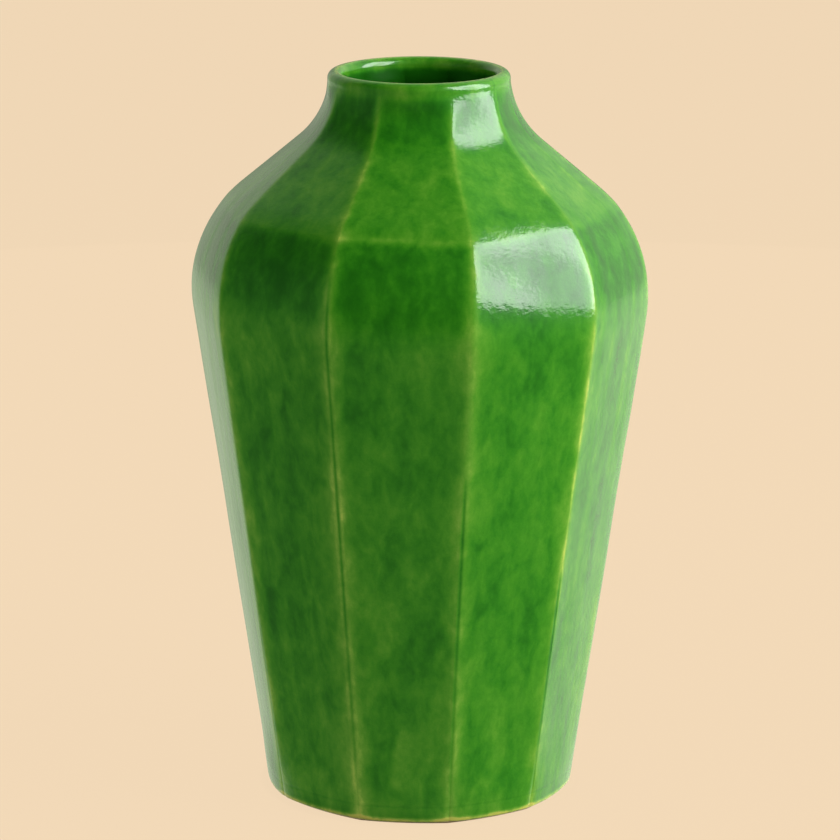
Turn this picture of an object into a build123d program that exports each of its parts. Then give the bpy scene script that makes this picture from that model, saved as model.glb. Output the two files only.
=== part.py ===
from build123d import *
import os
from math import copysign, cos, radians, sin, sqrt, tan

# Ten-sided stoneware vase, built from slabs of clay and glazed inside and out.
# Millimetres.  +Z is up, and the origin is the middle of the foot, on the surface that it stands on.
# A ten-sided base slab carries ten upright wall panels with mitred edges, and a round ring closes the top.
# A green coat of glaze covers the outside and another one the inside; they meet on top of the lip.

# ---- driving dimensions ------------------------------------------------------------------------
HEIGHT = 320.0                 # table to the top of the glazed lip
SIDES = 10                     # wall panels, and ridges between them

# Outline of the glazed outside, measured along a ridge, from the slab upwards
SLAB_TOP = 8.0                 # height of the seam between the base slab and the walls
SLAB_TOP_RADIUS = 69.0         # ridge radius at that seam
BODY_FLARE = 8.5               # degrees that the straight body leans outwards
BELLY_START = 213.7            # height where the straight body turns into the belly
BELLY_BEND = 60.3              # radius of the belly's arc, seen from the side
SHOULDER_SLOPE = 50.4          # degrees that the straight shoulder leans inwards
SHOULDER_LENGTH = 32.5         # straight part of the shoulder, along its slope
NECK_BEND = 39.3               # radius of the hollow arc that turns the shoulder up into the neck

# Cross-section: nearly flat sides in the body, softer at the foot and round under the lip
FOOT_ROUNDNESS = 0.6          # bulge of a side: 0 is a straight line, 1 is part of a circle
FLAT_ROUNDNESS = 0.2
FULL_ROUNDNESS = 0.995         # a hair under a circle, so that the ten sides stay separate curves
FOOT_BLEND = 30.0              # height over which the foot's softer sides turn flat
RIM_BLEND = 6.0                # height over which the flat sides turn into the round lip
RIM_BASE = 315.0               # height of the joint between the walls and the rim ring

# The ridges stray from even spacing, as hand-joined slabs do: degrees at the foot, the belly, the
# middle of the shoulder and the lip, for ridges 0 to 9
RIDGE_TURNS = (
    (0.8, 0.7, 0.3, -1.8),
    (-1.7, 0.2, 2.5, 7.6),
    (-3.2, -1.2, 1.0, 5.0),
    (-2.0, -2.0, 2.0, 3.0),
    (0.5, -0.5, -1.0, 0.0),
    (1.0, 0.0, 2.0, 1.0),
    (0.0, 1.0, -2.0, -2.0),
    (-1.0, 0.5, -3.0, -3.0),
    (-0.5, -1.0, -8.0, -5.0),
    (-1.9, 1.6, -3.3, -4.0),
)
TURN_BELLY = 222.0             # heights of the last three of those places
TURN_SHOULDER = 280.0
TURN_LIP = 315.0

# Thicknesses
OUTER_GLAZE = 0.6
CLAY_WALL = 5.5
INNER_GLAZE = 0.4
FIT_GAP = 0.02                 # kept between the glaze and the clay under it
SEAM_GAP = 0.04                # film of slip between two wall panels
CREST_LAND = 0.25              # half width of the flat land along the lip's crest

# Foot
FOOT_RING_WIDTH = 10.0         # flat ring that the vase stands on
FOOT_RECESS = 1.5              # depth of the hollow inside the foot ring
FOOT_EDGE = 1.0                # chamfer of the bottom edge
GLAZE_LINE = 1.2               # bare clay shows below this height

# How many steps of cross-section each stretch of the outline gets
FOOT_STEPS = 5
BODY_STEPS = 6
BELLY_STEPS = 9
SHOULDER_STEPS = 3
NECK_STEPS = 3
RIM_STEPS = 4
LIP_STEPS = 6

# ---- side outline, worked out from the dimensions above -------------------------------------------
FLARE = radians(BODY_FLARE)
SLOPE = radians(SHOULDER_SLOPE)
BELLY_Z = BELLY_START + BELLY_BEND * sin(FLARE)                          # widest point
BELLY_R = (SLAB_TOP_RADIUS + (BELLY_START - SLAB_TOP) * tan(FLARE) - BELLY_BEND * cos(FLARE))
NECK_R = BELLY_R + (BELLY_BEND + NECK_BEND) * cos(SLOPE) - SHOULDER_LENGTH * sin(SLOPE)
NECK_Z = BELLY_Z + (BELLY_BEND + NECK_BEND) * sin(SLOPE) + SHOULDER_LENGTH * cos(SLOPE)

CLAY_FACE = OUTER_GLAZE                                # insets from the glazed outside
CLAY_BACK = OUTER_GLAZE + CLAY_WALL
INSIDE_FACE = OUTER_GLAZE + CLAY_WALL + INNER_GLAZE


def smooth_step(value, start, end):
    """0 before start, 1 after end, and an even S-curve between them."""
    share = min(max((value - start) / (end - start), 0.0), 1.0)
    return share * share * (3.0 - 2.0 * share)


def ridge_radius(height, inset):
    """Radius of a ridge at a height, on the surface that lies inset inside the glazed outside."""
    belly_bend = BELLY_BEND - inset
    neck_bend = NECK_BEND + inset
    if height <= BELLY_Z - belly_bend * sin(FLARE):
        return SLAB_TOP_RADIUS + (height - SLAB_TOP) * tan(FLARE) - inset / cos(FLARE)
    if height <= BELLY_Z + belly_bend * sin(SLOPE):
        return BELLY_R + sqrt(belly_bend**2 - (height - BELLY_Z) ** 2)
    if height <= NECK_Z - neck_bend * sin(SLOPE):
        rise = height - BELLY_Z - belly_bend * sin(SLOPE)
        return BELLY_R + belly_bend * cos(SLOPE) - rise * tan(SLOPE)
    return NECK_R - sqrt(neck_bend**2 - (NECK_Z - height) ** 2)


def ridge_angle(ridge, height):
    """Direction of a ridge in degrees from +X; side 0, between ridges 0 and 1, faces -Y."""
    foot, belly, shoulder, lip = RIDGE_TURNS[ridge % SIDES]
    climb = min(max((height - SLAB_TOP) / (TURN_BELLY - SLAB_TOP), 0.0), 1.0)
    turn = foot + (belly - foot) * climb
    turn += (shoulder - belly) * smooth_step(height, TURN_BELLY, TURN_SHOULDER)
    turn += (lip - shoulder) * smooth_step(height, TURN_SHOULDER, TURN_LIP)
    return -90.0 + 360.0 / SIDES * (ridge - 0.5) + turn


def roundness(height):
    """How round the cross-section is at a height."""
    foot = 1.0 - smooth_step(height, SLAB_TOP, SLAB_TOP + FOOT_BLEND)
    rim = smooth_step(height, RIM_BASE - RIM_BLEND, RIM_BASE)
    bulge = FLAT_ROUNDNESS + (FOOT_ROUNDNESS - FLAT_ROUNDNESS) * foot
    return bulge + (FULL_ROUNDNESS - FLAT_ROUNDNESS) * rim


def side_points(side, height, radius, gap=0.0):
    """First end, middle and second end of one side of the cross-section, half a gap off its ridges."""
    first = radians(ridge_angle(side, height))
    second = radians(ridge_angle(side + 1, height))
    middle = (first + second) / 2.0
    bulge = roundness(height)
    middle_radius = radius * (bulge + (1.0 - bulge) * cos((second - first) / 2.0))
    first += gap / 2.0 / radius
    second -= gap / 2.0 / radius
    return (
        (radius * cos(first), radius * sin(first)),
        (middle_radius * cos(middle), middle_radius * sin(middle)),
        (radius * cos(second), radius * sin(second)),
    )


def spread(start, end, steps):
    """Evenly spaced values after start, up to and including end."""
    return [start + (end - start) * (step + 1) / steps for step in range(steps)]


def section_heights(bottom):
    """Heights of the cross-sections, closer together where the outline bends."""
    belly_angles = spread(-FLARE, SLOPE, BELLY_STEPS)
    shoulder_end = NECK_Z - NECK_BEND * sin(SLOPE)
    belly_end = BELLY_Z + BELLY_BEND * sin(SLOPE)
    heights = [bottom]
    heights += spread(SLAB_TOP, SLAB_TOP + FOOT_BLEND, FOOT_STEPS)
    heights += spread(SLAB_TOP + FOOT_BLEND, BELLY_START, BODY_STEPS)
    heights += [BELLY_Z + BELLY_BEND * sin(angle) for angle in belly_angles]
    heights += spread(belly_end, shoulder_end, SHOULDER_STEPS)
    heights += spread(shoulder_end, RIM_BASE - RIM_BLEND, NECK_STEPS)
    heights += spread(RIM_BASE - RIM_BLEND, RIM_BASE, RIM_STEPS)
    return heights


def panel_section(side, height):
    """Cross-section of one wall panel: two bowed faces and two mitred edges."""
    face = side_points(side, height, ridge_radius(height, CLAY_FACE), SEAM_GAP)
    back = side_points(side, height, ridge_radius(height, CLAY_BACK), SEAM_GAP)
    with BuildSketch(Plane.XY.offset(height)) as section:
        with BuildLine():
            ThreePointArc(face[0], face[1], face[2])
            Line(face[2], back[2])
            ThreePointArc(back[2], back[1], back[0])
            Line(back[0], face[0])
        make_face()
    return section.sketch


def full_section(height, radius):
    """Cross-section of the whole vase, with this radius at its ridges: ten bowed sides."""
    with BuildSketch(Plane.XY.offset(height)) as section:
        with BuildLine():
            for side in range(SIDES):
                ThreePointArc(*side_points(side, height, radius))
        make_face()
    return section.sketch


def coat_sections(bottom, inset, top):
    """Cross-sections up the wall at an inset, then up one half of the round lip to its crest."""
    sections = [
        full_section(height, ridge_radius(height, inset)) for height in section_heights(bottom)
    ]
    reach = ridge_radius(RIM_BASE, inset) - LIP_RADIUS
    for step in range(LIP_STEPS):
        angle = radians(90.0 * step / LIP_STEPS)
        height = LIP_Z + (top - LIP_Z) * sin(angle)
        sections.append(full_section(height, LIP_RADIUS + reach * cos(angle)))
    sections.append(full_section(top, LIP_RADIUS + copysign(CREST_LAND, reach)))
    return sections


def finish(piece, label):
    """Names a finished piece and writes it."""
    piece.label = label
    export_step(piece, f"parts/{label}.step")
    print(f"{label}: {piece.volume / 1000:.2f} cm3, valid {piece.is_valid}")


# ---- lip outline -----------------------------------------------------------------------------------
RIM_CLAY_OUTSIDE = ridge_radius(RIM_BASE, CLAY_FACE)
RIM_CLAY_INSIDE = ridge_radius(RIM_BASE, CLAY_BACK)
LIP_BEND = (RIM_CLAY_OUTSIDE - RIM_CLAY_INSIDE) / 2.0                    # half-round top of the ring
LIP_RADIUS = (RIM_CLAY_OUTSIDE + RIM_CLAY_INSIDE) / 2.0                  # radius of the lip's crest
LIP_Z = HEIGHT - OUTER_GLAZE - LIP_BEND                                  # height of its centre
CLAY_TOP = LIP_Z + LIP_BEND


def make_base_slab():
    """Slab cut to the walls' outline, a little hollow underneath, so that it stands on a flat ring."""
    foot_radius = ridge_radius(0.0, CLAY_FACE)
    outline = [
        full_section(0.0, foot_radius - FOOT_EDGE),
        full_section(FOOT_EDGE, ridge_radius(FOOT_EDGE, CLAY_FACE)),
        full_section(SLAB_TOP, ridge_radius(SLAB_TOP, CLAY_FACE)),
    ]
    with BuildPart() as base_slab:
        loft(outline, ruled=True)
        with BuildSketch(Plane.XY):
            Circle(foot_radius - FOOT_RING_WIDTH)
        extrude(amount=FOOT_RECESS, taper=45.0, mode=Mode.SUBTRACT)
    return base_slab.part


def make_wall_panel(side):
    """One upright slab from the base slab to the rim ring."""
    sections = [panel_section(side, height) for height in section_heights(SLAB_TOP)]
    with BuildPart() as wall_panel:
        loft(sections)
    return wall_panel.part


def make_rim_ring():
    """Ring with a flat underside and a half-round top."""
    with BuildPart() as rim_ring:
        with BuildSketch(Plane.XZ):
            with BuildLine():
                Polyline(
                    (RIM_CLAY_INSIDE, LIP_Z),
                    (RIM_CLAY_INSIDE, RIM_BASE),
                    (RIM_CLAY_OUTSIDE, RIM_BASE),
                    (RIM_CLAY_OUTSIDE, LIP_Z),
                )
                ThreePointArc(
                    (RIM_CLAY_OUTSIDE, LIP_Z),
                    (LIP_RADIUS, LIP_Z + LIP_BEND),
                    (RIM_CLAY_INSIDE, LIP_Z),
                )
            make_face()
        revolve(axis=Axis.Z)
    return rim_ring.part


def make_outer_glaze():
    """Green coat from just above the table, up the walls and over to the crest of the lip."""
    outside = coat_sections(GLAZE_LINE, 0.0, HEIGHT)
    underside = coat_sections(GLAZE_LINE, CLAY_FACE - FIT_GAP, CLAY_TOP + FIT_GAP)
    with BuildPart() as outer_glaze:
        loft(outside)
        loft(underside, mode=Mode.SUBTRACT)
        with BuildSketch(Plane.XY.offset(RIM_BASE)):
            Circle(LIP_RADIUS)
        extrude(amount=HEIGHT - RIM_BASE, mode=Mode.SUBTRACT)
    return outer_glaze.part


def make_inner_glaze():
    """Green coat on the floor, up the inside of the walls and over to the crest of the lip."""
    floor = SLAB_TOP + FIT_GAP
    underside = coat_sections(floor, CLAY_BACK + FIT_GAP, CLAY_TOP + FIT_GAP)
    hollow = coat_sections(floor + INNER_GLAZE, INSIDE_FACE, HEIGHT)
    with BuildPart() as inner_glaze:
        loft(underside)
        with BuildSketch(Plane.XY.offset(CLAY_TOP + FIT_GAP)):
            Circle(LIP_RADIUS)
        extrude(amount=HEIGHT - CLAY_TOP - FIT_GAP)
        loft(hollow, mode=Mode.SUBTRACT)
    return inner_glaze.part


os.makedirs("parts", exist_ok=True)
finish(make_base_slab(), "base_slab")
for number in range(SIDES):
    finish(make_wall_panel(number), f"wall_panel_{number + 1:02d}")
finish(make_rim_ring(), "rim_ring")
finish(make_outer_glaze(), "outer_glaze")
finish(make_inner_glaze(), "inner_glaze")
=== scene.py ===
import math

import bpy
import numpy as np
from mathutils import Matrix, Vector


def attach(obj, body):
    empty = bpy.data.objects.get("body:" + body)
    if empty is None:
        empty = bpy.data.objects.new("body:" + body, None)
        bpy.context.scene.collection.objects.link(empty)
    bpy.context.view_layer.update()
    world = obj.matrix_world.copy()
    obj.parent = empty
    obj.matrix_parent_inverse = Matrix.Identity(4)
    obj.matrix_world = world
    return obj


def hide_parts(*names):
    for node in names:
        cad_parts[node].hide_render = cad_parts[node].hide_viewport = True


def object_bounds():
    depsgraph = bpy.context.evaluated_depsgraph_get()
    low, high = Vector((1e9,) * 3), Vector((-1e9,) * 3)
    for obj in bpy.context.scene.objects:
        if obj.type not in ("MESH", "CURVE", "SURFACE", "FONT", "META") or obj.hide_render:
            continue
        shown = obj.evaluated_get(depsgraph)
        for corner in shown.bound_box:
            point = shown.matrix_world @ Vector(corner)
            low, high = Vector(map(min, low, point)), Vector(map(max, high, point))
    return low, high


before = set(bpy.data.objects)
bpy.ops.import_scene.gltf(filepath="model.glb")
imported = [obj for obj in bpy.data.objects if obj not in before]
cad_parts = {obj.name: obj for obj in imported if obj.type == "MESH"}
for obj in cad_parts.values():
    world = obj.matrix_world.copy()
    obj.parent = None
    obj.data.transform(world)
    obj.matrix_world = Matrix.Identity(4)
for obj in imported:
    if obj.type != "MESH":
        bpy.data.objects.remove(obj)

# Ten-sided stoneware vase.  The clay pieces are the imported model's own; the two coats of glaze are
# remade here as fine closed meshes with soft ridges, seam grooves and the unevenness of handwork.
# Shapes are worked out in millimetres and stored in metres; the frame's origin is the middle of the foot.
CAD_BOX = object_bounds()
MM = 0.001

# ---- the vase's outline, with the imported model's dimensions (mm) --------------------------------------
HEIGHT = CAD_BOX[1].z / MM
SIDES = 10
SLAB_TOP = 8.0                 # seam between base slab and walls
SLAB_TOP_RADIUS = 69.0
FLARE = math.radians(8.5)
BELLY_START = 213.7
BELLY_BEND = 60.3
SLOPE = math.radians(50.4)
SHOULDER_LENGTH = 32.5
NECK_BEND = 39.3
FOOT_ROUNDNESS = 0.6
FLAT_ROUNDNESS = 0.2
FOOT_BLEND = 30.0
RIM_BLEND = 6.0
GLAZED_RIM_BLEND = 11.0        # the glaze eases the flats into the round rim more slowly than the clay
RIM_BASE = 315.0
RIDGE_TURNS = (
    (0.8, 0.7, 0.3, -1.8),
    (-1.7, 0.2, 2.5, 7.6),
    (-3.2, -1.2, 1.0, 5.0),
    (-2.0, -2.0, 2.0, 3.0),
    (0.5, -0.5, -1.0, 0.0),
    (1.0, 0.0, 2.0, 1.0),
    (0.0, 1.0, -2.0, -2.0),
    (-1.0, 0.5, -3.0, -3.0),
    (-0.5, -1.0, -8.0, -5.0),
    (-1.9, 1.6, -3.3, -4.0),
)
TURN_BELLY = 222.0
TURN_SHOULDER = 280.0
TURN_LIP = 315.0
OUTER_GLAZE = 0.6
CLAY_WALL = 5.5
INNER_GLAZE = 0.4
FIT_GAP = 0.02

BELLY_Z = BELLY_START + BELLY_BEND * math.sin(FLARE)
BELLY_R = SLAB_TOP_RADIUS + (BELLY_START - SLAB_TOP) * math.tan(FLARE) - BELLY_BEND * math.cos(FLARE)
NECK_R = BELLY_R + (BELLY_BEND + NECK_BEND) * math.cos(SLOPE) - SHOULDER_LENGTH * math.sin(SLOPE)
NECK_Z = BELLY_Z + (BELLY_BEND + NECK_BEND) * math.sin(SLOPE) + SHOULDER_LENGTH * math.cos(SLOPE)

# ---- surface detail of the glazed outside (mm) ----------------------------------------------------------
RIDGE_SOFTNESS = 0.38          # how far the glaze rounds a ridge off
FOOT_SOFTNESS = 0.7
GROOVE_DEPTH = 0.10            # luting seam along each ridge
GROOVE_WIDTH = 0.75
GROOVE_TOPS = (252.0, 165.0, 120.0, 200.0, 245.0, 180.0, 250.0, 140.0, 225.0, 90.0)   # by ridge
RIDGE_MOST = (0.53, 0.53, 0.74, 0.62, 0.58, 0.55, 0.58, 0.62, 0.58, 0.48)      # how pale, by ridge
CREASE_Z = 262.0               # soft crease where the walls were bent in to the shoulder
CREASE_RISE = 0.30
SEAM_DEPTH = 0.07              # seam round the foot, over the joint of slab and walls
WOBBLE = 0.22                  # slow unevenness of the hand-made walls
RIPPLE = 0.030                 # narrow upright scraping marks
# upright runs of thicker glaze: how strong they are on each side
STREAK_BY_SIDE = (0.4, 0.4, 1.7, 0.8, 0.5, 0.6, 0.5, 0.8, 2.0, 0.6)


def smooth_step(value, start, end):
    share = np.clip((value - start) / (end - start), 0.0, 1.0)
    return share * share * (3.0 - 2.0 * share)


def bell(value, middle, width):
    return np.exp(-(((value - middle) / width) ** 2))


def ridge_radius(height, inset):
    """Radius of the ridges at each height, on the surface that lies inset inside the glazed outside."""
    belly_bend = BELLY_BEND - inset
    neck_bend = NECK_BEND + inset
    body_end = BELLY_Z - belly_bend * math.sin(FLARE)
    belly_end = BELLY_Z + belly_bend * math.sin(SLOPE)
    shoulder_end = NECK_Z - neck_bend * math.sin(SLOPE)
    body = SLAB_TOP_RADIUS + (height - SLAB_TOP) * math.tan(FLARE) - inset / math.cos(FLARE)
    belly = BELLY_R + np.sqrt(np.maximum(belly_bend**2 - (height - BELLY_Z) ** 2, 0.0))
    shoulder = BELLY_R + belly_bend * math.cos(SLOPE) - (height - belly_end) * math.tan(SLOPE)
    neck = NECK_R - np.sqrt(np.maximum(neck_bend**2 - (NECK_Z - height) ** 2, 0.0))
    return np.where(
        height <= body_end, body,
        np.where(height <= belly_end, belly, np.where(height <= shoulder_end, shoulder, neck)),
    )


LIP_OUT = float(ridge_radius(np.array(RIM_BASE), 0.0))
LIP_IN = float(ridge_radius(np.array(RIM_BASE), OUTER_GLAZE + CLAY_WALL + INNER_GLAZE))
CLAY_OUT = float(ridge_radius(np.array(RIM_BASE), OUTER_GLAZE))
CLAY_IN = float(ridge_radius(np.array(RIM_BASE), OUTER_GLAZE + CLAY_WALL))
LIP_RADIUS = (CLAY_OUT + CLAY_IN) / 2.0
LIP_BEND = (CLAY_OUT - CLAY_IN) / 2.0
LIP_Z = HEIGHT - OUTER_GLAZE - LIP_BEND


def ridge_angle(ridge, height):
    """Direction of a ridge in radians; side 0, between ridges 0 and 1, faces -Y."""
    foot, belly, shoulder, lip = RIDGE_TURNS[ridge % SIDES]
    turn = foot + (belly - foot) * np.clip((height - SLAB_TOP) / (TURN_BELLY - SLAB_TOP), 0.0, 1.0)
    turn = turn + (shoulder - belly) * smooth_step(height, TURN_BELLY, TURN_SHOULDER)
    turn = turn + (lip - shoulder) * smooth_step(height, TURN_SHOULDER, TURN_LIP)
    return np.radians(-90.0 + 360.0 / SIDES * (ridge - 0.5) + turn)


def roundness(height, rim_blend=RIM_BLEND):
    """How full the sides are at each height: 0 is a flat side, 1 is part of a circle."""
    foot = 1.0 - smooth_step(height, SLAB_TOP, SLAB_TOP + FOOT_BLEND)
    rim = smooth_step(height, RIM_BASE - rim_blend, RIM_BASE)
    return FLAT_ROUNDNESS + (FOOT_ROUNDNESS - FLAT_ROUNDNESS) * foot + (1.0 - FLAT_ROUNDNESS) * rim


def lattice_noise(x, y, around, seed):
    """Smooth noise between -1 and 1 on cells of size 1; it repeats after `around` cells in x."""
    rows = int(np.floor(y.max())) + 3
    values = np.random.RandomState(seed).uniform(-1.0, 1.0, (rows, around))
    x0 = np.floor(x).astype(int)
    y0 = np.clip(np.floor(y).astype(int), 0, rows - 2)
    fx, fy = x - x0, y - y0
    fx = fx**3 * (fx * (fx * 6 - 15) + 10)
    fy = fy**3 * (fy * (fy * 6 - 15) + 10)
    a, b = values[y0, x0 % around], values[y0, (x0 + 1) % around]
    c, d = values[y0 + 1, x0 % around], values[y0 + 1, (x0 + 1) % around]
    return (a * (1 - fx) + b * fx) * (1 - fy) + (c * (1 - fx) + d * fx) * fy


# ---- grid of points round the vase ----------------------------------------------------------------------
RIDGE_STEPS = (0.0, 0.22, 0.45, 0.7, 1.0, 1.4, 1.9, 2.6, 3.6, 5.0)     # mm from a ridge
MIDDLE_STEPS = 23


def wall_grid(heights, radii, bulge):
    """Angle, distance from the nearest ridge, place across the side and plain radius at every grid point."""
    angle, ridge_gap, across, radius = [], [], [], []
    for side in range(SIDES):
        first = ridge_angle(side, heights)
        second = ridge_angle(side + 1, heights)
        half = (second - first) / 2.0
        width = 2.0 * radii * np.sin(half)
        near = np.array(RIDGE_STEPS)[None, :] / width[:, None]
        middle = np.linspace(0.0, 1.0, MIDDLE_STEPS + 2)[1:-1][None, :]
        middle = near[:, -1:] + (1.0 - 2.0 * near[:, -1:]) * middle
        t = np.hstack([near, middle, (1.0 - near[:, 1:])[:, ::-1]])
        mid_radius = radii * (bulge + (1.0 - bulge) * np.cos(half))
        chord_r = radii * np.cos(half)
        rise = (mid_radius - chord_r)[:, None]
        x = (2.0 * t - 1.0) * (radii * np.sin(half))[:, None]
        y = chord_r[:, None] + rise * (1.0 - (2.0 * t - 1.0) ** 2)
        angle.append((first + half)[:, None] + np.arctan2(x, y))
        radius.append(np.hypot(x, y))
        ridge_gap.append(np.minimum(t, 1.0 - t) * width[:, None])
        across.append(side + t)
    return tuple(np.hstack(part) for part in (angle, ridge_gap, across, radius))


def nearest_ridge(across):
    return np.round(across).astype(int) % SIDES


def ring_mesh(name, rings, closed, attributes=None):
    """Mesh over a stack of rings of points, shape (rings, columns, 3) in mm; closed joins last to first."""
    count, columns = rings.shape[:2]
    index = np.arange(count * columns).reshape(count, columns)
    upper = np.roll(index, -1, axis=0) if closed else index[1:]
    lower = index if closed else index[:-1]
    quads = np.stack(
        [lower, np.roll(lower, -1, axis=1), np.roll(upper, -1, axis=1), upper], axis=-1
    ).reshape(-1, 4)
    mesh = bpy.data.meshes.new(name)
    mesh.vertices.add(count * columns)
    mesh.vertices.foreach_set("co", (rings.reshape(-1, 3) * MM).astype(np.float32).ravel())
    mesh.loops.add(quads.size)
    mesh.loops.foreach_set("vertex_index", quads.ravel().astype(np.int32))
    mesh.polygons.add(len(quads))
    mesh.polygons.foreach_set("loop_start", np.arange(0, quads.size, 4, dtype=np.int32))
    mesh.update(calc_edges=True)
    mesh.validate()
    mesh.shade_smooth()
    for key, values in (attributes or {}).items():
        layer = mesh.attributes.new(key, "FLOAT", "POINT")
        layer.data.foreach_set("value", values.astype(np.float32).ravel())
    piece = bpy.data.objects.new(name, mesh)
    bpy.context.scene.collection.objects.link(piece)
    return piece


def points(angle, radius, height):
    return np.stack([radius * np.cos(angle), radius * np.sin(angle), height + 0.0 * angle], axis=-1)


def outer_rows():
    """Heights of the grid rows up the outside, close together where there is fine detail."""
    return np.concatenate([
        np.linspace(0.9, 3.5, 14)[:-1],
        np.linspace(3.5, 7.0, 6)[:-1],
        np.linspace(7.0, 9.2, 12)[:-1],
        np.linspace(9.2, 34.0, 16)[:-1],
        np.linspace(34.0, 205.0, 44)[:-1],
        np.linspace(205.0, 257.0, 32)[:-1],
        np.linspace(257.0, 267.0, 16)[:-1],
        np.linspace(267.0, RIM_BASE, 36)[:-1],
        np.linspace(RIM_BASE, LIP_Z, 4)[:-1],
    ])


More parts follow.
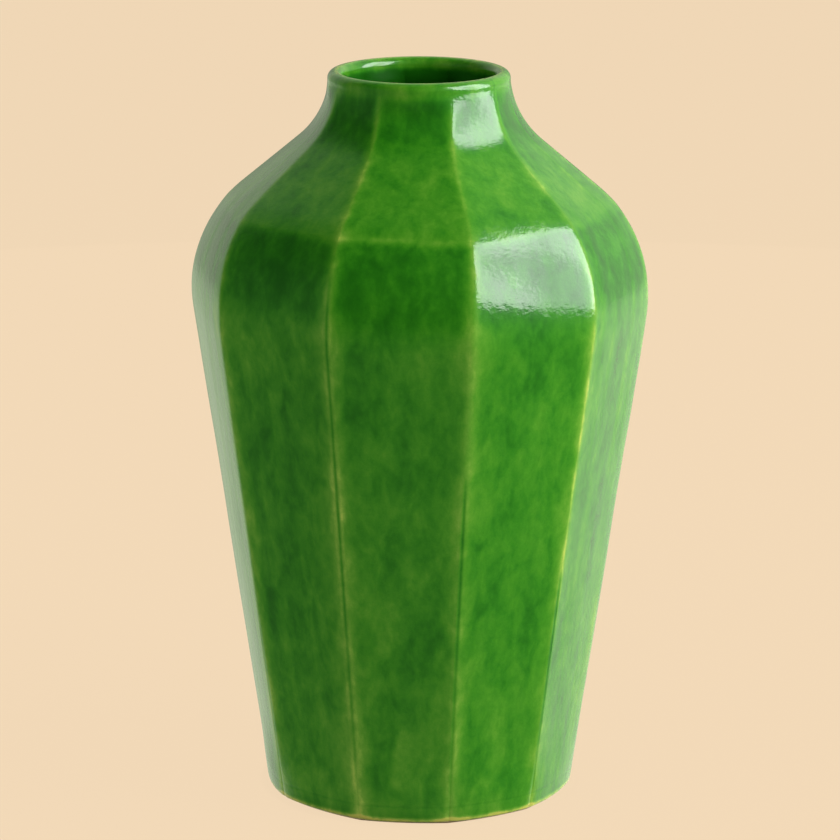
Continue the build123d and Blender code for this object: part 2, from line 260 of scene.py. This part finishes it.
def outer_glaze():
    """Glazed outside: wall skin, lip and underside as one closed mesh."""
    z = outer_rows()
    radii = ridge_radius(z, 0.0)
    radii = np.where(z > RIM_BASE, LIP_OUT, radii)
    fullness = roundness(z, GLAZED_RIM_BLEND)
    angle, gap, across, radius = wall_grid(z, radii, fullness)
    height = z[:, None] + 0.0 * angle
    flatness = 1.0 - (fullness[:, None] - FLAT_ROUNDNESS) / (1.0 - FLAT_ROUNDNESS)
    side_width = (radii / radii.max())[:, None]

    # ridge: rounded off by a hyperbola, with a narrow groove on it where the seam shows
    slope = math.tan(math.pi / SIDES * (1.0 - FLAT_ROUNDNESS))
    drop = slope * gap
    soft = RIDGE_SOFTNESS * flatness + FOOT_SOFTNESS * (1.0 - smooth_step(height, 0.0, 25.0))
    radius += drop - np.sqrt(drop**2 + soft**2) + 0.75 * soft
    ridge = nearest_ridge(across)
    tops = np.array(GROOVE_TOPS)[ridge]
    seam_noise = 0.75 + 0.25 * lattice_noise(ridge * 3.0 + 0.5, height / 14.0, 30, 5)
    groove = (1.0 - smooth_step(height, tops - 18.0, tops)) * seam_noise * flatness
    radius -= GROOVE_DEPTH * groove * bell(gap, 0.0, GROOVE_WIDTH)

    # crease at the shoulder: a low soft-edged fold
    crease = CREASE_Z + 1.2 * lattice_noise(across * 1.0, height * 0.0 + 0.5, SIDES, 11)
    fold = np.maximum(1.0 - np.abs(height - crease) / 9.0, 0.0)
    fold = np.sqrt(fold**2 + 0.01) - 0.1
    radius += CREASE_RISE * fold * fold

    # handwork: slow wobble, small lumps and narrow upright ripples
    fade = smooth_step(height, 0.0, 14.0) * (1.0 - smooth_step(height, RIM_BASE - 12.0, RIM_BASE))
    wobble = lattice_noise(across * 2.0, height / 46.0, 2 * SIDES, 3)
    lumps = lattice_noise(across * 4.0, height / 17.0, 4 * SIDES, 7)
    ripples = lattice_noise(across * 12.0, height / 60.0, 12 * SIDES, 13)
    ripples += 0.8 * lattice_noise(across * 23.0, height / 85.0, 23 * SIDES, 17)
    radius += WOBBLE * (wobble + 0.3) * fade * side_width + 0.04 * lumps * fade
    radius += RIPPLE * ripples * fade * side_width * (1.0 - smooth_step(height, 230.0, 265.0))

    # seam round the foot
    seam_z = SLAB_TOP + 0.25 * lattice_noise(across * 5.0, height * 0.0 + 0.5, 5 * SIDES, 19)
    seam = bell(height, seam_z, 0.6) * (0.7 + 0.3 * lattice_noise(across * 7.0, height * 0.0 + 0.5, 7 * SIDES, 23))
    radius -= SEAM_DEPTH * seam

    # lower edge: a thin rounded bead of glaze that ends unevenly above the table
    edge = 0.95 + 0.22 * lattice_noise(across * 6.0, height * 0.0 + 0.5, 6 * SIDES, 29)
    rise = np.clip((height - 0.9) / 2.6, 0.0, 1.0)
    height = np.where(height < 3.5, edge + (3.5 - edge) * rise, height)
    bead = np.clip((height - edge) / 0.7, 0.0, 1.0)
    inset = (OUTER_GLAZE - FIT_GAP) * (1.0 - np.sqrt(1.0 - (1.0 - bead) ** 2))
    radius -= inset

    # round lip up to its crest, then back down the underside
    lip_angles = np.radians(np.linspace(0.0, 90.0, 25))
    reach = radius[-1:, :] * 0.0 + (LIP_OUT - LIP_RADIUS)
    lip_radius = LIP_RADIUS + reach * np.cos(lip_angles)[:, None]
    lip_height = (LIP_Z + (HEIGHT - LIP_Z) * np.sin(lip_angles))[:, None] + 0.0 * reach
    lip_angle = np.repeat(angle[-1:, :], len(lip_angles), axis=0)

    under_z = z[::-1][::6]
    under_radii = np.where(under_z > RIM_BASE, CLAY_OUT, ridge_radius(under_z, OUTER_GLAZE - FIT_GAP))
    under_angle, _, _, under_radius = wall_grid(under_z, under_radii, roundness(under_z))
    back_angles = np.radians(np.linspace(90.0, 0.0, 7))
    back_radius = LIP_RADIUS + (LIP_BEND + FIT_GAP) * np.cos(back_angles)[:, None] + 0.0 * reach
    back_height = (LIP_Z + (LIP_BEND + FIT_GAP) * np.sin(back_angles))[:, None] + 0.0 * reach
    back_angle = np.repeat(angle[-1:, :], len(back_angles), axis=0)
    last_height = np.maximum(under_z[:, None] + 0.0 * under_angle, edge[:1, :] + 0.05)

    rings = np.concatenate([
        points(angle, radius, height),
        points(lip_angle, lip_radius, lip_height),
        points(back_angle, back_radius, back_height),
        points(under_angle, under_radius, last_height),
    ])
    thin = ridge_thinness(gap, height, ridge, groove, flatness)
    thin += 0.45 * bell(height, crease, 1.3) * crease_strength(across)
    thin += 0.11 * smooth_step(height, crease - 1.0, crease + 3.0) * (1.0 - smooth_step(height, 284.0, 298.0))
    thin += 0.10 * (1.0 - smooth_step(height, 30.0, 90.0))
    thin += 0.22 * smooth_step(height, RIM_BASE - 5.0, RIM_BASE + 1.0)
    thin += 1.0 * (1.0 - smooth_step(height, edge + 0.8, edge + 3.0))
    pool_and_shade = (0.30 + 0.35 * smooth_step(height, 20.0, 120.0)) * groove * bell(gap, 0.0, 0.65) + 0.15 * seam
    # painted shade: the band from the belly up to the crease and the upper neck are painted darker, less so next to
    # the ridges
    shade_away_from_ridges = 1.0 - 0.75 * bell(gap, 0.0, 2.4)
    pool_and_shade += 0.34 * shade_away_from_ridges * smooth_step(height, 222.0, 238.0) * (1.0 - smooth_step(height, crease - 4.0, crease))
    pool_and_shade += 0.36 * shade_away_from_ridges * smooth_step(height, 286.0, 300.0) * (1.0 - smooth_step(height, RIM_BASE - 4.0, RIM_BASE))
    lip_thin = 0.22 + 0.60 * bell(lip_angles[:, None] + 0.0 * reach, math.radians(90.0), 0.22)
    blank = np.zeros((len(back_angles) + len(under_z), angle.shape[1]))
    streak = lattice_noise(across * 9.0, height / 42.0, 9 * SIDES, 41)
    streak += 0.9 * lattice_noise(across * 19.0, height / 60.0, 19 * SIDES, 43)
    streak *= np.array(STREAK_BY_SIDE)[np.floor(across).astype(int) % SIDES]
    lip_streak = np.repeat(streak[-1:, :], len(lip_angles), axis=0)
    attributes = {
        "thin": np.concatenate([thin, lip_thin, blank]),
        "pool_and_shade": np.concatenate([pool_and_shade, 0.0 * lip_thin, blank]),
        "streak": np.concatenate([streak, lip_streak, blank]),
    }
    return ring_mesh("outer_glaze_coat", rings, True, attributes)


def ridge_thinness(gap, height, ridge, groove, flatness):
    """Where the glaze ran off the ridges: a soft band either side of each, brightest next to the groove."""
    body = 1.0 - smooth_step(height, 235.0, 275.0)
    band = (0.32 + 0.26 * body) * bell(gap, 0.0, 2.8 + 2.0 * body)
    line = 0.20 * bell(gap, 1.3, 0.7) * groove + 0.26 * bell(gap, 0.0, 1.1) * (1.0 - groove)
    patchy = 0.88 + 0.12 * lattice_noise(ridge * 5.0 + 0.5, height / 22.0, 50, 31)
    most = np.array(RIDGE_MOST)[ridge]
    return np.minimum((band + line) * patchy, most) * flatness**0.3


def crease_strength(across):
    strengths = np.array((1.0, 0.35, 0.2, 0.5, 0.3, 0.6, 0.2, 0.4, 0.3, 0.4))
    side = np.floor(across).astype(int) % SIDES
    return strengths[side] * (0.8 + 0.2 * lattice_noise(across * 6.0, across * 0.0 + 0.5, 6 * SIDES, 37))


def inner_glaze():
    """Glazed inside: floor, wall and inner half of the lip as one closed mesh."""
    inset = OUTER_GLAZE + CLAY_WALL + INNER_GLAZE
    floor = SLAB_TOP + FIT_GAP + INNER_GLAZE
    z = np.concatenate([
        np.linspace(floor, 34.0, 12)[:-1],
        np.linspace(34.0, 205.0, 30)[:-1],
        np.linspace(205.0, RIM_BASE, 60)[:-1],
        np.linspace(RIM_BASE, LIP_Z, 4)[:-1],
    ])
    radii = np.where(z > RIM_BASE, LIP_IN, ridge_radius(z, inset))
    angle, _, _, radius = wall_grid(z, radii, roundness(z))
    height = z[:, None] + 0.0 * angle
    lip_angles = np.radians(np.linspace(0.0, 90.0, 25))
    flat = 0.0 * angle[-1:, :]
    lip_radius = LIP_RADIUS - (LIP_RADIUS - LIP_IN) * np.cos(lip_angles)[:, None] + flat
    lip_height = (LIP_Z + (HEIGHT - LIP_Z) * np.sin(lip_angles))[:, None] + flat
    lip_angle = np.repeat(angle[-1:, :], len(lip_angles), axis=0)
    back_angles = np.radians(np.linspace(90.0, 0.0, 7))
    back_radius = LIP_RADIUS - (LIP_BEND + FIT_GAP) * np.cos(back_angles)[:, None] + flat
    back_height = (LIP_Z + (LIP_BEND + FIT_GAP) * np.sin(back_angles))[:, None] + flat
    back_angle = np.repeat(angle[-1:, :], len(back_angles), axis=0)
    under_z = np.append(z[::-1][::4], SLAB_TOP + FIT_GAP)
    under_radii = np.where(under_z > RIM_BASE, CLAY_IN, ridge_radius(under_z, inset - INNER_GLAZE + FIT_GAP))
    under_angle, _, _, under_radius = wall_grid(under_z, under_radii, roundness(under_z))
    under_height = under_z[:, None] + 0.0 * under_angle

    shares = np.linspace(0.0, 1.0, 10)[1:-1]
    floor_under = [points(under_angle[-1:], under_radius[-1:] * (1.0 - s), under_height[-1:]) for s in shares]
    floor_over = [points(angle[:1], radius[:1] * s, height[:1]) for s in shares]
    rings = np.concatenate(
        [points(angle, radius, height), points(lip_angle, lip_radius, lip_height),
         points(back_angle, back_radius, back_height), points(under_angle, under_radius, under_height)]
        + floor_under + floor_over
    )
    thin = np.concatenate([
        0.22 * smooth_step(height, RIM_BASE - 1.0, LIP_Z),
        0.18 + 0.65 * bell(lip_angles[:, None] + flat, math.radians(82.0), 0.30),
        np.zeros((len(back_angles) + len(under_z) + 2 * len(shares), angle.shape[1])),
    ])
    pool_and_shade = np.zeros_like(thin)
    # painted shade: the inside wall is painted almost fully dark, fading out just under the lip
    pool_and_shade[: len(z)] = 0.95 * (1.0 - smooth_step(height, RIM_BASE - 2.0, LIP_Z))
    return ring_mesh("inner_glaze_coat", rings, True, {"thin": thin, "pool_and_shade": pool_and_shade, "streak": 0.0 * thin})


# ---- materials ------------------------------------------------------------------------------------------
def node(tree, kind, **settings):
    made = tree.nodes.new(kind)
    for key, value in settings.items():
        setattr(made, key, value)
    return made


def math_node(tree, operation, a, b=None, c=None):
    made = node(tree, "ShaderNodeMath", operation=operation)
    for socket, value in zip(made.inputs, (a, b, c)):
        if value is None:
            continue
        if isinstance(value, (int, float)):
            socket.default_value = value
        else:
            tree.links.new(value, socket)
    return made.outputs[0]


def noise(tree, scale, stretch=(1.0, 1.0, 1.0), detail=2.0, rough=0.5, distortion=0.0):
    """Noise in the object's own space; scale is in features per metre."""
    place = node(tree, "ShaderNodeTexCoord")
    mapping = node(tree, "ShaderNodeMapping")
    mapping.inputs["Scale"].default_value = stretch
    texture = node(tree, "ShaderNodeTexNoise")
    texture.inputs["Scale"].default_value = scale
    texture.inputs["Detail"].default_value = detail
    texture.inputs["Roughness"].default_value = rough
    texture.inputs["Distortion"].default_value = distortion
    tree.links.new(place.outputs["Object"], mapping.inputs["Vector"])
    tree.links.new(mapping.outputs["Vector"], texture.inputs["Vector"])
    return texture.outputs["Fac"]


def linear(r, g, b):
    """sRGB bytes to a linear colour."""
    def channel(v):
        v /= 255.0
        return v / 12.92 if v <= 0.04045 else ((v + 0.055) / 1.055) ** 2.4
    return (channel(r), channel(g), channel(b), 1.0)


def new_material(name):
    material = bpy.data.materials.new(name)
    material.use_nodes = True
    tree = material.node_tree
    return material, tree, tree.nodes["Principled BSDF"]


def ramp(tree, factor, stops):
    made = node(tree, "ShaderNodeValToRGB")
    made.color_ramp.interpolation = "B_SPLINE"
    elements = made.color_ramp.elements
    while len(elements) < len(stops):
        elements.new(0.5)
    for element, (place, colour) in zip(elements, stops):
        element.position = place
        element.color = colour
    tree.links.new(factor, made.inputs["Fac"])
    return made.outputs["Color"]


def glaze_material():
    """Glassy green glaze: pale where it is thin, dark where it has pooled and where painted shade is laid on."""
    material, tree, shader = new_material("green_glaze")
    clouds = noise(tree, 30.0, (1.0, 1.0, 0.7), 2.0, 0.5)
    mottles = noise(tree, 120.0, (1.0, 1.0, 0.55), 3.0, 0.55, 0.4)
    flecks = noise(tree, 330.0, (1.0, 1.0, 0.6), 2.0, 0.5)
    grain = noise(tree, 1300.0, (1.0, 1.0, 1.0), 2.0, 0.6)
    thin = node(tree, "ShaderNodeAttribute", attribute_name="thin").outputs["Fac"]
    pool_and_shade = node(tree, "ShaderNodeAttribute", attribute_name="pool_and_shade").outputs["Fac"]
    streak = node(tree, "ShaderNodeAttribute", attribute_name="streak").outputs["Fac"]
    glaze_depth_and_shade = math_node(tree, "MULTIPLY_ADD", clouds, 0.42, -0.09)
    glaze_depth_and_shade = math_node(tree, "MULTIPLY_ADD", mottles, 0.66, glaze_depth_and_shade)
    glaze_depth_and_shade = math_node(tree, "MULTIPLY_ADD", flecks, 0.24, glaze_depth_and_shade)
    glaze_depth_and_shade = math_node(tree, "MULTIPLY_ADD", grain, 0.12, glaze_depth_and_shade)
    glaze_depth_and_shade = math_node(tree, "MULTIPLY_ADD", thin, -0.52, glaze_depth_and_shade)
    # this channel darkens pooled glaze and also carries painted shade on the belly band, upper neck and inside wall
    glaze_depth_and_shade = math_node(tree, "MULTIPLY_ADD", pool_and_shade, 0.55, glaze_depth_and_shade)
    glaze_depth_and_shade = math_node(tree, "MULTIPLY_ADD", streak, 0.06, glaze_depth_and_shade)
    colour = ramp(tree, glaze_depth_and_shade, (
        (0.00, linear(192, 186, 84)),
        (0.13, linear(138, 172, 64)),
        (0.27, linear(102, 150, 44)),
        (0.42, linear(76, 138, 28)),
        (0.60, linear(50, 124, 14)),
        (0.78, linear(31, 106, 7)),
        (1.00, linear(14, 80, 3)),
    ))
    tree.links.new(colour, shader.inputs["Base Color"])
    shader.inputs["IOR"].default_value = 1.52
    sheen = math_node(tree, "MULTIPLY_ADD", streak, 0.13, 0.5)
    tree.links.new(sheen, shader.inputs["Specular IOR Level"])
    shader.inputs["Coat Weight"].default_value = 0.30
    shader.inputs["Coat Roughness"].default_value = 0.42
    gloss = math_node(tree, "MULTIPLY_ADD", flecks, 0.06, 0.075)
    tree.links.new(gloss, shader.inputs["Roughness"])
    peel = noise(tree, 380.0, (1.0, 1.0, 1.5), 2.0, 0.5)
    bump = node(tree, "ShaderNodeBump")
    bump.inputs["Strength"].default_value = 1.0
    bump.inputs["Distance"].default_value = 0.00011
    tree.links.new(peel, bump.inputs["Height"])
    tree.links.new(bump.outputs["Normal"], shader.inputs["Normal"])
    return material


def clay_material():
    """Bare fired stoneware: buff, faintly speckled and dry."""
    material, tree, shader = new_material("bare_stoneware")
    grain = noise(tree, 900.0, (1.0, 1.0, 1.0), 4.0, 0.6)
    tone = noise(tree, 45.0, (1.0, 1.0, 1.0), 2.0, 0.5)
    mixed = math_node(tree, "MULTIPLY_ADD", grain, 0.5, math_node(tree, "MULTIPLY", tone, 0.5))
    colour = ramp(tree, mixed, (
        (0.25, linear(176, 132, 84)),
        (0.50, linear(218, 180, 128)),
        (0.75, linear(234, 206, 162)),
    ))
    tree.links.new(colour, shader.inputs["Base Color"])
    tree.links.new(math_node(tree, "MULTIPLY_ADD", grain, 0.2, 0.68), shader.inputs["Roughness"])
    bump = node(tree, "ShaderNodeBump")
    bump.inputs["Strength"].default_value = 0.6
    bump.inputs["Distance"].default_value = 0.0002
    tree.links.new(grain, bump.inputs["Height"])
    tree.links.new(bump.outputs["Normal"], shader.inputs["Normal"])
    return material


# ---- stage, light and camera ----------------------------------------------------------------------------
BACKDROP = linear(241, 216, 183)
FLOOR_SIZE = 6.0
FLOOR_GAP = 0.0002             # keeps the floor and the foot's underside from lying in one plane


def make_floor():
    """Plain pale floor that the camera sees; its glow keeps it even, and a little shading grounds the vase."""
    mesh = bpy.data.meshes.new("floor")
    half = FLOOR_SIZE / 2.0
    corners = [(-half, -half, 0.0), (half, -half, 0.0), (half, half, 0.0), (-half, half, 0.0)]
    mesh.from_pydata(corners, [], [(0, 1, 2, 3)])
    floor = bpy.data.objects.new("floor", mesh)
    floor.location.z = -FLOOR_GAP
    bpy.context.scene.collection.objects.link(floor)
    floor.visible_glossy = False
    floor.visible_diffuse = False
    material, tree, shader = new_material("floor")
    shader.inputs["Base Color"].default_value = BACKDROP
    shader.inputs["Roughness"].default_value = 1.0
    shader.inputs["Specular IOR Level"].default_value = 0.0
    glow = node(tree, "ShaderNodeEmission")
    glow.inputs["Color"].default_value = BACKDROP
    glow.inputs["Strength"].default_value = 1.008
    mix = node(tree, "ShaderNodeMixShader")
    mix.inputs["Fac"].default_value = FLOOR_GLOW
    tree.links.new(shader.outputs[0], mix.inputs[1])
    tree.links.new(glow.outputs[0], mix.inputs[2])
    tree.links.new(mix.outputs[0], tree.nodes["Material Output"].inputs["Surface"])
    mesh.materials.append(material)


FLOOR_GLOW = 0.97


def area_light(name, azimuth, elevation, distance, size, radiance, reflected=True, aim=0.22):
    """Soft box that faces the vase; radiance is how bright its surface is."""
    a, e = math.radians(azimuth), math.radians(elevation)
    target = Vector((0.0, 0.0, aim))
    shade_away_from_ridges = Vector((math.sin(a) * math.cos(e), -math.cos(a) * math.cos(e), math.sin(e)))
    light = bpy.data.lights.new(name, "AREA")
    light.shape = "RECTANGLE"
    light.size, light.size_y = size
    light.energy = radiance * math.pi * size[0] * size[1]
    lamp = bpy.data.objects.new(name, light)
    lamp.location = target + shade_away_from_ridges * distance
    lamp.rotation_mode = "QUATERNION"
    lamp.rotation_quaternion = shade_away_from_ridges.to_track_quat("Z", "Y")
    lamp.visible_camera = False
    lamp.visible_glossy = reflected
    bpy.context.scene.collection.objects.link(lamp)


def make_window():
    """Tall soft window to the right of the camera, a little brighter round its edge and faded at the top."""
    columns, rows = 81, 81
    u, v = np.meshgrid(np.linspace(-1.0, 1.0, columns), np.linspace(0.0, 1.0, rows))
    azimuth = np.radians(WINDOW_AZIMUTH + WINDOW_HALF_WIDTH * u)
    bottom = np.maximum(WINDOW_BOTTOM - WINDOW_SLOPE * u, WINDOW_LOWEST)
    height = bottom + (WINDOW_TOP - bottom) * v
    x, y = WINDOW_DISTANCE * np.sin(azimuth), -WINDOW_DISTANCE * np.cos(azimuth)
    turned = np.degrees(azimuth)
    border = np.maximum(1.0 - smooth_step(turned, 63.5, 68.5), smooth_step(turned, 78.0, 84.0))
    border = np.maximum(border, smooth_step(v, 0.52, 0.66))
    glow = WINDOW_CENTRE + (WINDOW_EDGE - WINDOW_CENTRE) * border
    glow *= smooth_step(v, -0.01, 0.06)
    glow *= 1.0 - smooth_step(v, 0.72, 1.0)
    glow *= 1.0 - smooth_step(np.abs(u), 0.80, 1.0)
    index = np.arange(rows * columns).reshape(rows, columns)
    quads = np.stack([index[:-1, :-1], index[:-1, 1:], index[1:, 1:], index[1:, :-1]], axis=-1).reshape(-1, 4)
    mesh = bpy.data.meshes.new("window")
    corners = np.stack([x, y, height], axis=-1).reshape(-1, 3)
    mesh.from_pydata([tuple(c) for c in corners.tolist()], [], quads.tolist())
    layer = mesh.attributes.new("glow", "FLOAT", "POINT")
    layer.data.foreach_set("value", glow.astype(np.float32).ravel())
    window = bpy.data.objects.new("window", mesh)
    bpy.context.scene.collection.objects.link(window)
    material = bpy.data.materials.new("window")
    material.use_nodes = True
    tree = material.node_tree
    tree.nodes.clear()
    light = node(tree, "ShaderNodeEmission")
    light.inputs["Color"].default_value = (0.93, 1.0, 0.94, 1.0)
    glow_input = node(tree, "ShaderNodeAttribute", attribute_name="glow")
    tree.links.new(glow_input.outputs["Fac"], light.inputs["Strength"])
    output = node(tree, "ShaderNodeOutputMaterial")
    tree.links.new(light.outputs[0], output.inputs["Surface"])
    mesh.materials.append(material)
    window.visible_camera = False
    window.visible_shadow = False


WINDOW_AZIMUTH = 76.0          # degrees to the right of -Y
WINDOW_HALF_WIDTH = 30.0
WINDOW_DISTANCE = 1.3          # metres
WINDOW_BOTTOM = 0.085
WINDOW_SLOPE = 0.50
WINDOW_LOWEST = 0.118
WINDOW_TOP = 2.15
WINDOW_CENTRE = 5.2
WINDOW_EDGE = 9.0


def make_bounce():
    """Soft light thrown up off the table, seen by matt surfaces only."""
    inner, outer, steps = 0.071, 1.2, 48
    turn = np.linspace(0.0, 2.0 * np.pi, steps, endpoint=False)
    ring = [(r * math.cos(t), r * math.sin(t), 0.0002) for r in (inner, outer) for t in turn]
    faces = [(i, (i + 1) % steps, steps + (i + 1) % steps, steps + i) for i in range(steps)]
    mesh = bpy.data.meshes.new("bounce")
    mesh.from_pydata(ring, [], faces)
    bounce = bpy.data.objects.new("bounce", mesh)
    bpy.context.scene.collection.objects.link(bounce)
    material = bpy.data.materials.new("bounce")
    material.use_nodes = True
    tree = material.node_tree
    tree.nodes.clear()
    light = node(tree, "ShaderNodeEmission")
    light.inputs["Color"].default_value = (1.0, 0.97, 0.92, 1.0)
    light.inputs["Strength"].default_value = BOUNCE
    output = node(tree, "ShaderNodeOutputMaterial")
    tree.links.new(light.outputs[0], output.inputs["Surface"])
    mesh.materials.append(material)
    bounce.visible_camera = False
    bounce.visible_glossy = False
    bounce.visible_shadow = False


BOUNCE = 0.75


def world_band(tree, value, stops):
    """Brightness of the room along one direction: value runs from -1 to 1."""
    made = node(tree, "ShaderNodeValToRGB")
    elements = made.color_ramp.elements
    while len(elements) < len(stops):
        elements.new(0.5)
    for element, (place, level) in zip(elements, stops):
        element.position = (place + 1.0) / 2.0
        element.color = (level / 2.0, level / 2.0, level / 2.0, 1.0)
    made.color_ramp.interpolation = "EASE"
    share = math_node(tree, "MULTIPLY_ADD", value, 0.5, 0.5)
    tree.links.new(share, made.inputs["Fac"])
    return made.outputs["Color"]


def make_world():
    """Room seen in the glaze: dark floor and room towards the camera, bright behind; plain to the eye."""
    world = bpy.data.worlds.new("studio")
    bpy.context.scene.world = world
    world.use_nodes = True
    tree = world.node_tree
    room = tree.nodes["Background"]
    place = node(tree, "ShaderNodeTexCoord")
    split = node(tree, "ShaderNodeSeparateXYZ")
    tree.links.new(place.outputs["Generated"], split.inputs[0])
    x, y, z = split.outputs
    floor_back = world_band(tree, y, ((-1.0, 0.06), (0.05, 0.08), (0.55, 0.90), (0.90, 0.90), (0.96, 0.35), (1.0, 0.30)))
    air_back = world_band(tree, y, ((-1.0, 0.03), (0.05, 0.04), (0.62, 0.60), (0.92, 0.70), (0.97, 0.38), (1.0, 0.32)))
    side = world_band(tree, x, ((-1.0, 0.82), (-0.3, 0.82), (0.3, 1.24), (1.0, 1.24)))
    above = node(tree, "ShaderNodeMapRange", interpolation_type="SMOOTHSTEP")
    above.inputs["From Min"].default_value = -0.16
    above.inputs["From Max"].default_value = -0.12
    tree.links.new(z, above.inputs["Value"])
    mixed = node(tree, "ShaderNodeMix", data_type="RGBA")
    tree.links.new(above.outputs[0], mixed.inputs[0])
    tree.links.new(floor_back, mixed.inputs[6])
    tree.links.new(air_back, mixed.inputs[7])
    level = math_node(tree, "MULTIPLY", mixed.outputs[2], side)
    overhead = node(tree, "ShaderNodeMapRange", interpolation_type="SMOOTHSTEP")
    overhead.inputs["From Min"].default_value = 0.93
    overhead.inputs["From Max"].default_value = 0.99
    overhead.inputs["To Min"].default_value = 0.0
    overhead.inputs["To Max"].default_value = 0.08
    tree.links.new(z, overhead.inputs["Value"])
    level = math_node(tree, "MAXIMUM", math_node(tree, "MULTIPLY", level, 4.0), overhead.outputs[0])
    tree.links.new(level, room.inputs["Strength"])
    room.inputs["Color"].default_value = (0.91, 1.0, 0.75, 1.0)
    plain = node(tree, "ShaderNodeBackground")
    plain.inputs["Color"].default_value = BACKDROP
    seen = node(tree, "ShaderNodeLightPath")
    mix = node(tree, "ShaderNodeMixShader")
    tree.links.new(seen.outputs["Is Camera Ray"], mix.inputs[0])
    tree.links.new(room.outputs[0], mix.inputs[1])
    tree.links.new(plain.outputs[0], mix.inputs[2])
    tree.links.new(mix.outputs[0], tree.nodes["World Output"].inputs["Surface"])


CAMERA_AZIMUTH = 5.3           # degrees
CAMERA_DISTANCE = 1.805        # metres from the vase's axis
CAMERA_HEIGHT = 0.616
CAMERA_TILT = 14.05            # degrees below level
CAMERA_LENS = 181.2
CAMERA_TURN = -0.0135          # degrees off the vase's axis


def make_camera():
    camera = bpy.data.cameras.new("camera")
    camera.lens = CAMERA_LENS
    camera.sensor_width = 36.0
    camera.clip_end = 50.0
    holder = bpy.data.objects.new("camera", camera)
    a = math.radians(CAMERA_AZIMUTH)
    holder.location = (CAMERA_DISTANCE * math.sin(a), -CAMERA_DISTANCE * math.cos(a), CAMERA_HEIGHT)
    holder.rotation_euler = (math.radians(90.0 - CAMERA_TILT), 0.0, a + math.radians(CAMERA_TURN))
    bpy.context.scene.collection.objects.link(holder)
    bpy.context.scene.camera = holder


# ---- build ----------------------------------------------------------------------------------------------
make_camera()
make_floor()
make_world()
make_window()
make_bounce()
area_light("fill_left", -62.0, 8.0, 1.8, (1.8, 1.2), 2.1, reflected=False)
area_light("fill_right", 62.0, 12.0, 1.8, (1.4, 1.2), 0.9, reflected=False)
area_light("fill_front", -10.0, 30.0, 1.8, (1.4, 1.2), 0.12, reflected=False)
bpy.context.scene.view_settings.view_transform = "Standard"

glaze = glaze_material()
outside = outer_glaze()
inside = inner_glaze()
for piece, replaced in ((outside, "outer_glaze"), (inside, "inner_glaze")):
    piece.data.materials.append(glaze)
    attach(piece, "root")
    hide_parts(replaced)

clay = clay_material()
for name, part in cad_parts.items():
    if not name.endswith("glaze"):
        for slot in part.material_slots:
            slot.material = clay
